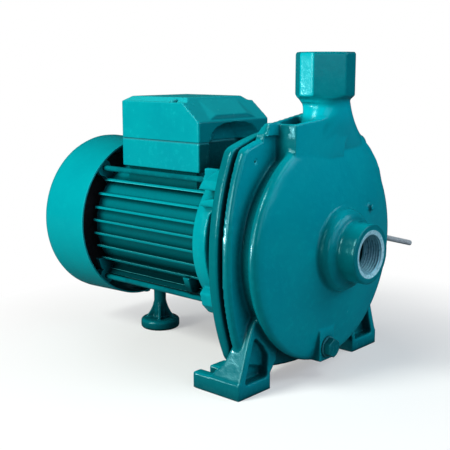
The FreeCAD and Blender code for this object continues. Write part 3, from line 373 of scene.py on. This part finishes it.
def lantern_shade(look, tone):
    """Painted shade: near-black inside of the lantern, plus darker paint on the flange rim's
    faces towards -X.
    """
    tone = side_shade("Y", full=0.0792, none=0.0802, amount=0.60)(look, tone)
    place = look.axes(look.coords)
    inner = look.remap(look.shaft_distance(place), span=(0.0640, 0.0660), to=(1.0, 0.0))
    along = look.times(look.remap(place["Y"], span=(0.0780, 0.0800), to=(0.0, 1.0)),
                       look.remap(place["Y"], span=(0.1175, 0.1195), to=(1.0, 0.0)))
    return look.mix(look.times(inner, along, 0.93), tone, (0.001, 0.004, 0.005))


# ------------------------------------------------------------------ materials by record slot
slot_looks = {
    "casing_paint": enamel("casing_enamel", PAINT, cast=0.9, peel=0.8, rough=0.22, mottle=0.7,
                           edge_gain=1.5, side=casing_light_and_shade),
    "alloy_paint": enamel("alloy_enamel", PAINT, cast=0.45, peel=0.5, rough=0.24,
                          soft=0.5 * MM),
    "sheet_paint": enamel("sheet_enamel", PAINT, cast=0.08, peel=0.3, rough=0.20,
                          soft=0.6 * MM, mottle=0.35),
    "plug_paint": enamel("plug_enamel", muted(0.42, 0.6, 0.28), cast=0.5, peel=0.5, rough=0.28,
                         soft=0.5 * MM),
    "bolt_paint": enamel("bolt_enamel", PAINT, cast=0.25, peel=0.3, rough=0.24, soft=0.35 * MM,
                         edge_gain=1.3),
    "gasket_rubber": enamel("oversprayed_rubber", muted(0.55, 0.7, 0.4), cast=0.3, peel=0.9,
                            rough=0.5, soft=0.2 * MM),
    "zinc_steel": metal("zinc_plate", (176, 178, 172), (206, 208, 206), rough=0.32, scale=260.0),
    "shaft_steel": metal("turned_steel", (158, 160, 164), (196, 198, 202), rough=0.24,
                         scale=900.0, brushed=(0.08, 3.0, 0.08)),
    "lamination": metal("stacked_sheets", (104, 106, 112), (150, 152, 158), rough=0.42,
                        scale=1400.0, brushed=(0.05, 2.4, 0.05), bump=0.3),
    "impeller_brass": metal("cast_brass", (176, 138, 62), (206, 170, 92), rough=0.36,
                            scale=300.0, bump=0.25),
    "copper_wire": metal("lacquered_wire", (150, 72, 34), (196, 108, 60), rough=0.34,
                         scale=1200.0, brushed=(1.0, 0.12, 1.0), bump=0.4),
    "cast_alloy": metal("cast_alloy", (140, 142, 144), (182, 184, 186), rough=0.46,
                        scale=320.0, bump=0.2),
    "black_rubber": plain("black_rubber", (24, 24, 26), (44, 44, 46), rough=0.62),
    "ceramic": plain("white_ceramic", (222, 218, 206), (238, 236, 228), rough=0.22, coat=0.4),
    "carbon": plain("carbon_ring", (34, 35, 38), (62, 63, 67), rough=0.38),
    "black_plastic": plain("black_plastic", (26, 27, 30), (46, 47, 50), rough=0.45),
    "white_plastic": plain("white_plastic", (214, 214, 208), (232, 232, 228), rough=0.42),
    "ball_steel": metal("polished_balls", (196, 198, 202), (222, 224, 228), rough=0.12,
                        scale=600.0, bump=0.03),
    "cable_sheath": plain("cable_sheath", (160, 166, 168), (190, 194, 196), rough=0.5,
                          scale=600.0),
}
# The blue-teal of the machined port and bore is partly painted reflection of the surrounding teal
# paint.
bare_mouth = metal("machined_port", (150, 216, 230), (196, 236, 244), rough=0.28, scale=500.0,
                   bump=0.05, hollow_shade=0.10, metallic=0.15)
bare_bore = metal("machined_bore", (84, 150, 166), (120, 184, 198), rough=0.30, scale=500.0,
                  bump=0.05, hollow_shade=0.25, metallic=0.15)

# Nodes whose look differs from their slot's
node_looks = {
    "motor_frame": finned("frame_enamel", PAINT),
    "motor_bracket": enamel("bracket_enamel", PAINT, cast=0.9, peel=0.8, rough=0.20,
                            mottle=0.7, edge_gain=1.5, side=lantern_shade),
    "terminal_box": enamel("box_enamel", PAINT, cast=0.3, peel=0.5, rough=0.26, soft=0.5 * MM,
                           mottle=0.6, side=front_light_and_shade(0.85)),
    "terminal_lid": enamel("lid_enamel", PAINT, cast=0.3, peel=0.5, rough=0.24, soft=0.5 * MM,
                           mottle=0.6, side=front_light_and_shade(0.35)),
    # darker paint on the motor foot is painted shade
    "motor_foot": enamel("foot_enamel", muted(0.5, 0.6, 0.4), cast=0.6, peel=0.5, rough=0.26,
                         soft=0.5 * MM, edge_gain=0.8),
    # darker paint on the tie rods is painted shade
    "tie_rods": enamel("rod_enamel", muted(0.55, 1.0, 0.4), cast=0.1, peel=0.2, rough=0.14,
                       coat=0.3),
}


def look_of(node):
    return node_looks.get(node) or slot_looks[slot_of[node]]


for node, piece in frame["nodes"].items():
    piece.data.materials.clear()
    piece.data.materials.append(look_of(node))


# ------------------------------------------------------------------ cast skins over CAD pieces
def add_object(name, data):
    made = bpy.data.objects.new(name, data)
    scene.collection.objects.link(made)
    return made


def relax(points, edges, steps, weight):
    """Moves each point half way to its neighbours' mean, times its weight, steps times."""
    count = len(points)
    start, end = edges.T
    degree = np.maximum(np.bincount(edges.ravel(), minlength=count).astype(float), 1)
    for _ in range(steps):
        mean = np.empty_like(points)
        for k in range(3):
            mean[:, k] = (np.bincount(start, weights=points[end, k], minlength=count)
                          + np.bincount(end, weights=points[start, k], minlength=count)) / degree
        points = points + (mean - points) * (0.5 * weight)[:, None]
    return points


def cast_skin(name, node, voxel, steps, weight, reshape=None):
    """Closed skin over one CAD node with its sharp corners eased, riding where the node rides."""
    source = add_object(name + "_tmp", frame["nodes"][node].data.copy())
    weld = source.modifiers.new("weld", "WELD")
    weld.merge_threshold = 2e-6
    remesh = source.modifiers.new("skin", "REMESH")
    remesh.mode = "VOXEL"
    remesh.voxel_size = voxel
    remesh.adaptivity = 0.0
    graph = bpy.context.evaluated_depsgraph_get()
    mesh = bpy.data.meshes.new_from_object(source.evaluated_get(graph), depsgraph=graph)
    mesh.name = name
    bpy.data.objects.remove(source)

    points = np.empty(len(mesh.vertices) * 3)
    mesh.vertices.foreach_get("co", points)
    points = points.reshape(-1, 3) * 1000.0
    edges = np.empty(len(mesh.edges) * 2, np.int64)
    mesh.edges.foreach_get("vertices", edges)
    points = relax(points, edges.reshape(-1, 2), steps, weight(points))
    if reshape:
        points = reshape(points)
    mesh.vertices.foreach_set("co", (points / 1000.0).ravel())
    mesh.polygons.foreach_set("use_smooth", [True] * len(mesh.polygons))
    mesh.materials.clear()
    mesh.materials.append(look_of(node))
    mesh.update()
    skin = add_object(name, mesh)
    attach(skin, body_of[node])
    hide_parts(node)


# Weights in millimetres: 1 eases a point freely, 0 holds it still
NEARLY_HELD = 0.12


def even_weight(points):
    return np.ones(len(points))


def casing_weight(points):
    """Holds the sole, and nearly holds the suction port's face."""
    x, y, z = points.T
    weight = np.where(z < -103.9, 0.0, 1.0)
    weight[(np.hypot(x, z) < 23.8) & (y < 0.9)] = NEARLY_HELD
    return weight


def seam_weight(points):
    """Keeps the lid and box lips sharp where they meet the gasket."""
    return np.where(np.abs(points[:, 2] - SEAM_Z) < 2.0, NEARLY_HELD, 1.0)


def sole_weight(points):
    return np.where(points[:, 2] < -104.1, 0.0, 1.0)


def widen_bore(a, b, center_a, center_b, in_depth):
    """Pushes points inside the bore radius out to it, in the plane across the bore."""
    radius = np.hypot(a - center_a, b - center_b)
    inside = (radius < BORE_RADIUS) & in_depth
    factor = np.where(inside, BORE_RADIUS / np.maximum(radius, 1e-6), 1.0)
    return center_a + (a - center_a) * factor, center_b + (b - center_b) * factor


def casing_reshape(points):
    """Flattens the port faces and the sole, and makes room for the threaded sleeves."""
    flat = 0.55  # how far off a port face a point may lie and still be flattened
    x, y, z = points.T
    y = np.where((np.hypot(x, z) < 22.4) & (np.abs(y) < flat), 0.0, y)
    on_port = np.hypot(x - PORT_X, y - PORT_Y) < 23.0
    z = np.where(on_port & (np.abs(z - PORT_Z) < flat), PORT_Z, z)
    z = np.where(z < -104.0, FLOOR_Z, z)
    x, z = widen_bore(x, z, 0.0, 0.0, in_depth=y < 17.0)
    x, y = widen_bore(x, y, PORT_X, PORT_Y, in_depth=z > PORT_Z - 18.6)
    return np.stack([x, y, z], 1)


# name, node, quick and full voxel size (mm), easing steps, weight, reshape
for name, node, coarse, fine, steps, weight, reshape in (
    ("casing_skin", "pump_casing", 1.6, 1.0, 2, casing_weight, casing_reshape),
    ("bracket_skin", "motor_bracket", 1.6, 1.0, 2, even_weight, None),
    ("lid_skin", "terminal_lid", 1.2, 0.75, 3, seam_weight, None),
    ("box_skin", "terminal_box", 1.2, 0.75, 2, seam_weight, None),
    ("foot_skin", "motor_foot", 0.9, 0.6, 3, sole_weight, None),
):
    cast_skin(name, node, fine * MM, steps, weight, reshape)


# ------------------------------------------------------------------ threaded port sleeves
def mesh_object(name, points, faces):
    mesh = bpy.data.meshes.new(name)
    mesh.from_pydata([tuple(point) for point in points], [], faces)
    mesh.validate()
    mesh.update()
    return add_object(name, mesh)


def thread_radius(angle, depth, mouth, length):
    """Mouth chamfer, then a helical thread that runs out near the bottom."""
    chamfer = MOUTH_RADIUS + (THREAD_RADIUS - MOUTH_RADIUS) * depth / mouth
    phase = (depth / THREAD_PITCH - angle / (2 * math.pi)) % 1.0
    triangle = 1.0 - abs(2.0 * phase - 1.0)
    flank = min(1.0, max(0.0, (triangle - 0.12) / 0.76))  # flat crests and roots
    flank = flank * flank * (3 - 2 * flank) * 0.35 + flank * 0.65  # slightly rounded
    runout = min(1.0, max(0.0, (length - 1.4 - depth) / 2.0))
    return max(chamfer, THREAD_RADIUS + THREAD_DEPTH * flank * runout)


def port_thread(name, place, mouth, length, segments=144, rings_per_pitch=12):
    """Closed sleeve; place(radius, angle, depth) gives a point in millimetres."""
    steps = int(length / THREAD_PITCH * rings_per_pitch)
    depths = [0.0] + [length * (i + 1) / steps for i in range(steps)]
    angles = [2 * math.pi * i / segments for i in range(segments)]
    # radius and depth of the rings of the lip, from outside to mouth
    lip = (
        (SLEEVE_RADIUS, 0.25),
        (SLEEVE_RADIUS, -0.02),
        (SLEEVE_RADIUS - 0.12, -0.08),
        (MOUTH_RADIUS + 0.08, -0.08),
    )
    points = [place(radius, a, depth) for radius, depth in lip for a in angles]
    points += [place(thread_radius(a, d, mouth, length), a, d) for d in depths for a in angles]
    points += [place(SLEEVE_RADIUS, a, length) for a in angles]

    count = len(lip) + len(depths) + 1
    faces, material_index = [], []
    for j in range(count):
        ring, following = j * segments, (j + 1) % count * segments
        in_bore = len(lip) <= j < count - 1 and depths[j - len(lip)] >= mouth
        for i in range(segments):
            i2 = (i + 1) % segments
            faces.append((ring + i, ring + i2, following + i2, following + i))
            material_index.append(int(in_bore))

    sleeve = mesh_object(name, np.array(points) * MM, faces)
    mesh = sleeve.data
    mesh.materials.append(bare_mouth)
    mesh.materials.append(bare_bore)
    mesh.polygons.foreach_set("material_index", material_index)
    bm = bmesh.new()
    bm.from_mesh(mesh)
    bmesh.ops.recalc_face_normals(bm, faces=bm.faces)
    bm.to_mesh(mesh)
    bm.free()
    mesh.polygons.foreach_set("use_smooth", [True] * len(mesh.polygons))
    mesh.set_sharp_from_angle(angle=math.radians(38))
    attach(sleeve, "pump_body")


def suction_place(radius, angle, depth):
    return radius * math.cos(angle), depth, radius * math.sin(angle)


def discharge_place(radius, angle, depth):
    return PORT_X + radius * math.cos(angle), PORT_Y + radius * math.sin(angle), PORT_Z - depth


port_thread("suction_port_thread", suction_place, mouth=0.8, length=16.9)
port_thread("discharge_port_thread", discharge_place, mouth=1.75, length=18.4)


# ------------------------------------------------------------------ floor
def studio_floor():
    """White paper that glows away from the pump, yet looks dark in reflections and bounces."""
    z = FLOOR_Z * MM
    half = 12.0
    floor = mesh_object("studio_floor", [(-half, -half, z), (half, -half, z),
                                         (half, half, z), (-half, half, z)], [(0, 1, 2, 3)])
    look = Look("studio_paper")
    cloud = look.noise(scale=3.0, detail=3.0)
    paper = look.shader
    look.put(look.mix(cloud, (0.90, 0.90, 0.90), (0.94, 0.94, 0.94)), paper.inputs["Base Color"])
    paper.inputs["Roughness"].default_value = 0.8
    paper.inputs["Specular IOR Level"].default_value = 0.0
    glow = look.add("ShaderNodeEmission")
    look.put((1, 1, 1), glow.inputs["Color"])
    glow.inputs["Strength"].default_value = 1.0
    distance = look.add("ShaderNodeVectorMath", operation="DISTANCE")
    look.link(look.coords, distance.inputs[0])
    distance.inputs[1].default_value = (0.0, 0.10, z)
    far = look.remap(distance.outputs["Value"], span=(0.12, 0.34), to=(0.35, 1.0))
    rays = look.add("ShaderNodeLightPath").outputs
    dark = look.add("ShaderNodeBsdfDiffuse")
    look.put((0.05, 0.09, 0.10), dark.inputs["Color"])

    def mix_shaders(amount, a, b):
        node = look.add("ShaderNodeMixShader")
        for index, source in enumerate((amount, a, b)):
            look.link(source, node.inputs[index])
        return node.outputs[0]

    seen = mix_shaders(look.times(far, rays["Is Camera Ray"]), paper.outputs[0], glow.outputs[0])
    unseen = look.math("MAXIMUM", rays["Is Glossy Ray"], look.times(rays["Is Diffuse Ray"], 0.8))
    look.link(mix_shaders(unseen, seen, dark.outputs[0]), look.out.inputs["Surface"])
    floor.data.materials.append(look.material)


studio_floor()


# ------------------------------------------------------------------ world
def studio_world():
    """White to the camera, dim to reflections, nearly black as a light."""
    world = bpy.data.worlds.new("studio")
    scene.world = world
    world.use_nodes = True
    nodes, link = world.node_tree.nodes, world.node_tree.links.new
    nodes.clear()

    def background(color, strength):
        node = nodes.new("ShaderNodeBackground")
        node.inputs["Color"].default_value = (*color, 1)
        node.inputs["Strength"].default_value = strength
        return node

    out = nodes.new("ShaderNodeOutputWorld")
    by_camera = nodes.new("ShaderNodeMixShader")
    rays = nodes.new("ShaderNodeLightPath").outputs
    ambient = background((0.92, 0.96, 1.0), strength=0.03)
    seen = background((1, 1, 1), strength=1.0)
    reflected = background((0.10, 0.16, 0.18), strength=0.15)
    by_gloss = nodes.new("ShaderNodeMixShader")
    for mixer, ray, a, b in ((by_gloss, "Is Glossy Ray", ambient, reflected),
                             (by_camera, "Is Camera Ray", by_gloss, seen)):
        link(rays[ray], mixer.inputs[0])
        link(a.outputs[0], mixer.inputs[1])
        link(b.outputs[0], mixer.inputs[2])
    link(by_camera.outputs[0], out.inputs["Surface"])


studio_world()


# ------------------------------------------------------------------ lights
def aim(thing, direction):
    thing.rotation_mode = "QUATERNION"
    thing.rotation_quaternion = direction.to_track_quat("-Z", "Y")


MIDDLE = (0, 0.12, 0.0)
FRONT = (0, 0.1, 0.0)
BRANCH = (-0.03, 0.044, 0.135)
# name, place, target, width, height, power (W), colour
for name, place, target, width, height, power, color in (
    ("key_left", (-1.5, 0.55, 0.35), MIDDLE, 0.7, 0.6, 18.0, (1.0, 1.0, 0.91)),
    ("key_high", (-1.15, 0.5, 1.1), MIDDLE, 0.5, 0.5, 19.0, (0.95, 1.0, 0.95)),
    ("branch_strip", (-1.06, 1.03, -0.06), BRANCH, 0.20, 0.14, 18.0, (1.0, 0.98, 0.98)),
    ("front_left", (-0.95, -1.15, 0.5), MIDDLE, 0.9, 0.8, 4.0, (0.9, 0.92, 1.15)),
    ("fill_front", (0.1, -1.5, 0.6), FRONT, 0.9, 0.7, 4.4, (0.8, 0.95, 1.18)),
    ("fill_right", (0.9, -1.15, 0.9), FRONT, 0.9, 0.7, 7.0, (0.8, 0.96, 1.12)),
    ("front_high", (0.05, -0.9, 1.25), FRONT, 0.8, 0.6, 5.8, (0.9, 1.0, 0.98)),
):
    light = bpy.data.lights.new(name, "AREA")
    light.energy = power
    light.color = color
    light.shape = "RECTANGLE"
    light.size = width
    light.size_y = height
    lamp = add_object(name, light)
    lamp.location = place
    aim(lamp, Vector(target) - Vector(place))

# The strip lights the casing alone
receivers = bpy.data.collections.new("strip_receivers")
receivers.objects.link(bpy.data.objects["casing_skin"])
bpy.data.objects["branch_strip"].light_linking.receiver_collection = receivers


# ------------------------------------------------------------------ camera
AZIMUTH, ELEVATION = math.radians(-48.3), math.radians(10.54)
lens = bpy.data.cameras.new("camera")
lens.sensor_width = 36.0
lens.lens = 68.2144
lens.clip_start, lens.clip_end = 0.01, 50.0
camera = add_object("camera", lens)
camera.location = (-0.55012, -0.34035, 0.14154)
backward = Vector((math.sin(AZIMUTH) * math.cos(ELEVATION),
                   -math.cos(AZIMUTH) * math.cos(ELEVATION),
                   math.sin(ELEVATION)))
aim(camera, -backward)
scene.camera = camera
scene.view_settings.view_transform = "Standard"
scene.view_settings.look = "None"
